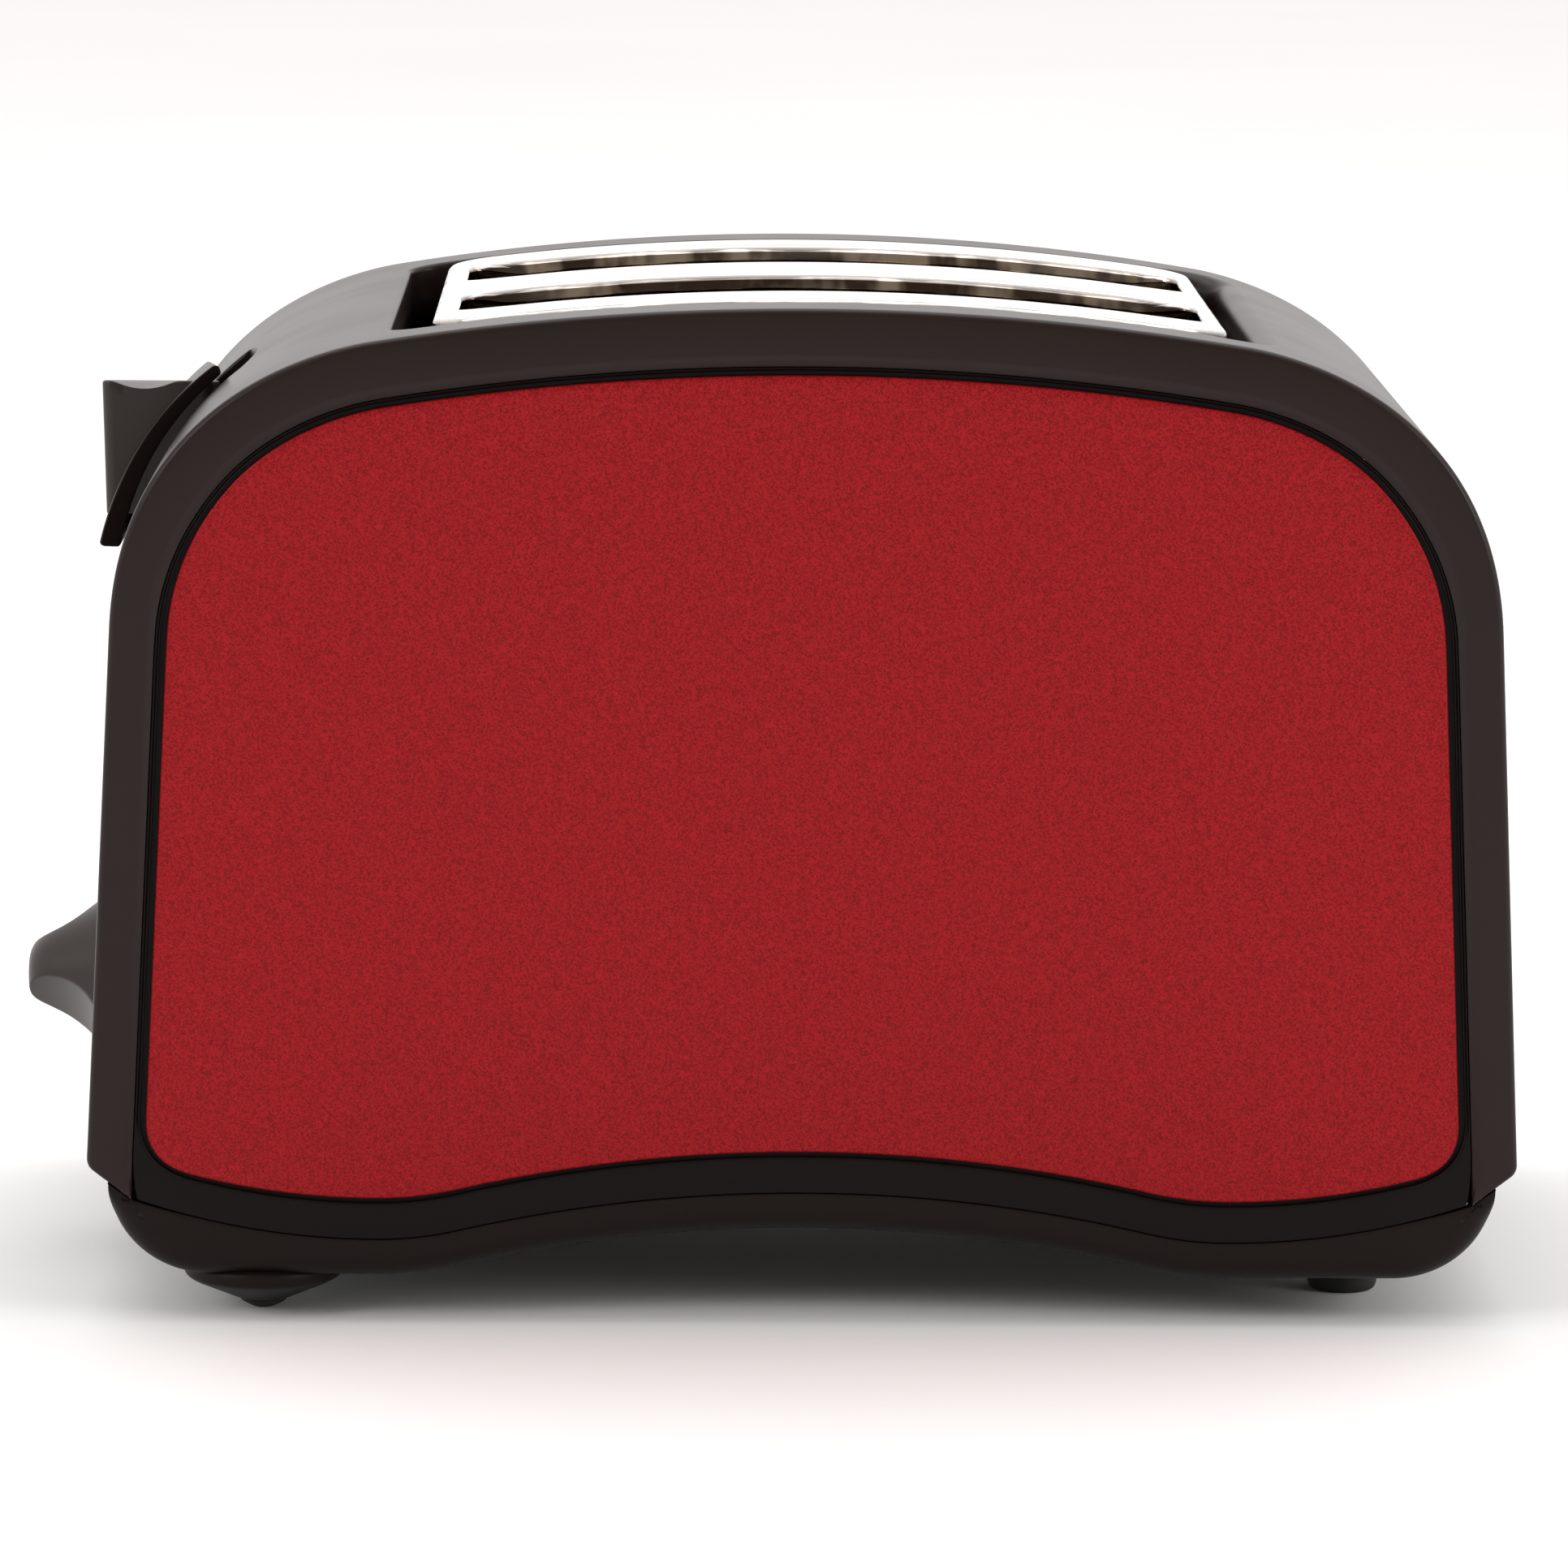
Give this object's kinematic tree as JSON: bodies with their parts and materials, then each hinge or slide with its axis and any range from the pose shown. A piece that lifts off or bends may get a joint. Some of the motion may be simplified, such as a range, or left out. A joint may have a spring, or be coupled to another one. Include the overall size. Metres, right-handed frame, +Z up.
{
  "type": "pop-up toaster",
  "caption": "Pop-up toaster with an arched plastic housing, inset metal front and rear panels, a chrome slot plate, an end lever with a curved shield and a conical browning knob.",
  "frame": {"origin": "on the standing surface, under the middle of the whole toaster's bounding box, which reaches from the tip of the browning knob to the right lower corner of the housing", "axes": "+X runs along the bread slots, away from the lever end; -Y is the front; +Z is up"},
  "size_m": [0.2818, 0.16, 0.19],
  "materials": {
    "charcoal_plastic": "fine satin mould texture",
    "red_metallic": "metallic red lacquer with fine flake",
    "base_plastic": "near-black satin",
    "chrome_plate": "bright polished",
    "sheet_steel": "rolled sheet",
    "guard_wire": "drawn wire",
    "zinc_steel": "zinc plated",
    "mica": "pressed mica sheet",
    "resistance_ribbon": "oxidised",
    "copper_wire": "enamelled winding",
    "circuit_board": "solder mask",
    "cream_plastic": "moulded nylon",
    "rubber": "moulded"
  },
  "bodies": {
    "housing": {"housing_shell": "charcoal_plastic", "front_cover": "charcoal_plastic", "rear_cover": "charcoal_plastic", "front_panel": "red_metallic", "rear_panel": "red_metallic", "base_pan": "base_plastic", "foot_front_left": "rubber", "foot_rear_left": "rubber", "foot_front_right": "rubber", "foot_rear_right": "rubber", "cord_gland": "rubber", "terminal_block": "cream_plastic", "base_screw_1": "zinc_steel", "base_screw_2": "zinc_steel", "base_screw_3": "zinc_steel", "base_screw_4": "zinc_steel", "chassis_screw_1": "zinc_steel", "chassis_screw_2": "zinc_steel", "chassis_screw_3": "zinc_steel", "chassis_screw_4": "zinc_steel", "slot_plate": "chrome_plate", "chassis_end_left": "sheet_steel", "chassis_end_right": "sheet_steel", "reflector_front": "sheet_steel", "reflector_rear": "sheet_steel", "heater_board_front": "mica", "heater_board_centre": "mica", "heater_board_rear": "mica", "heater_ribbon_front": "resistance_ribbon", "heater_ribbon_centre_front": "resistance_ribbon", "heater_ribbon_centre_rear": "resistance_ribbon", "heater_ribbon_rear": "resistance_ribbon", "guide_rod": "guard_wire", "return_spring": "guard_wire", "magnet_core": "zinc_steel", "magnet_coil": "copper_wire", "control_board": "circuit_board", "board_capacitor": "base_plastic", "browning_potentiometer": "zinc_steel", "cancel_switch": "base_plastic"},
    "carriage": {"carriage_bracket": "zinc_steel", "carriage_bush": "cream_plastic", "lift_rack_front": "guard_wire", "lift_rack_rear": "guard_wire", "keeper_plate": "zinc_steel", "lever_knob": "charcoal_plastic"},
    "front_outer_guard": {"guard_front_outer": "guard_wire"},
    "front_inner_guard": {"guard_front_inner": "guard_wire"},
    "rear_inner_guard": {"guard_rear_inner": "guard_wire"},
    "rear_outer_guard": {"guard_rear_outer": "guard_wire"},
    "browning_dial": {"browning_knob": "charcoal_plastic", "browning_shaft": "zinc_steel"},
    "cancel": {"cancel_button": "charcoal_plastic"},
    "tray": {"crumb_tray": "base_plastic"}
  },
  "joints": [
    {"name": "lever_slide", "type": "slide", "parent": "housing", "child": "carriage", "axis": [0, 0, -1], "range_m": [0, 0.045], "stiffness_N_per_m": 60, "springref_m": -0.07, "deforming": ["return_spring"]},
    {"name": "front_outer_guard_tilt", "type": "hinge", "parent": "housing", "child": "front_outer_guard", "pos_m": [0.01335, -0.045, 0.044], "axis": [-1, 0, 0], "range_deg": [0, 4.6]},
    {"name": "front_inner_guard_tilt", "type": "hinge", "parent": "housing", "child": "front_inner_guard", "pos_m": [0.01335, -0.014, 0.044], "axis": [1, 0, 0], "range_deg": [0, 4.6]},
    {"name": "rear_inner_guard_tilt", "type": "hinge", "parent": "housing", "child": "rear_inner_guard", "pos_m": [0.01335, 0.014, 0.044], "axis": [-1, 0, 0], "range_deg": [0, 4.6]},
    {"name": "rear_outer_guard_tilt", "type": "hinge", "parent": "housing", "child": "rear_outer_guard", "pos_m": [0.01335, 0.045, 0.044], "axis": [1, 0, 0], "range_deg": [0, 4.6]},
    {"name": "browning_turn", "type": "hinge", "parent": "housing", "child": "browning_dial", "pos_m": [-0.13, 0, 0.0515], "axis": [-1, 0, 0], "range_deg": [-150, 120]},
    {"name": "cancel_press", "type": "slide", "parent": "housing", "child": "cancel", "axis": [1, 0, 0], "range_m": [0, 0.0015], "stiffness_N_per_m": 500, "springref_m": -0.001},
    {"name": "tray_slide", "type": "slide", "parent": "housing", "child": "tray", "axis": [1, 0, 0], "range_m": [0, 0.15]}
  ],
  "couplings": [
    {"joint": "front_outer_guard_tilt", "follows": "lever_slide", "rad_per_m": 1.744},
    {"joint": "front_inner_guard_tilt", "follows": "lever_slide", "rad_per_m": 1.744},
    {"joint": "rear_inner_guard_tilt", "follows": "lever_slide", "rad_per_m": 1.744},
    {"joint": "rear_outer_guard_tilt", "follows": "lever_slide", "rad_per_m": 1.744}
  ]
}
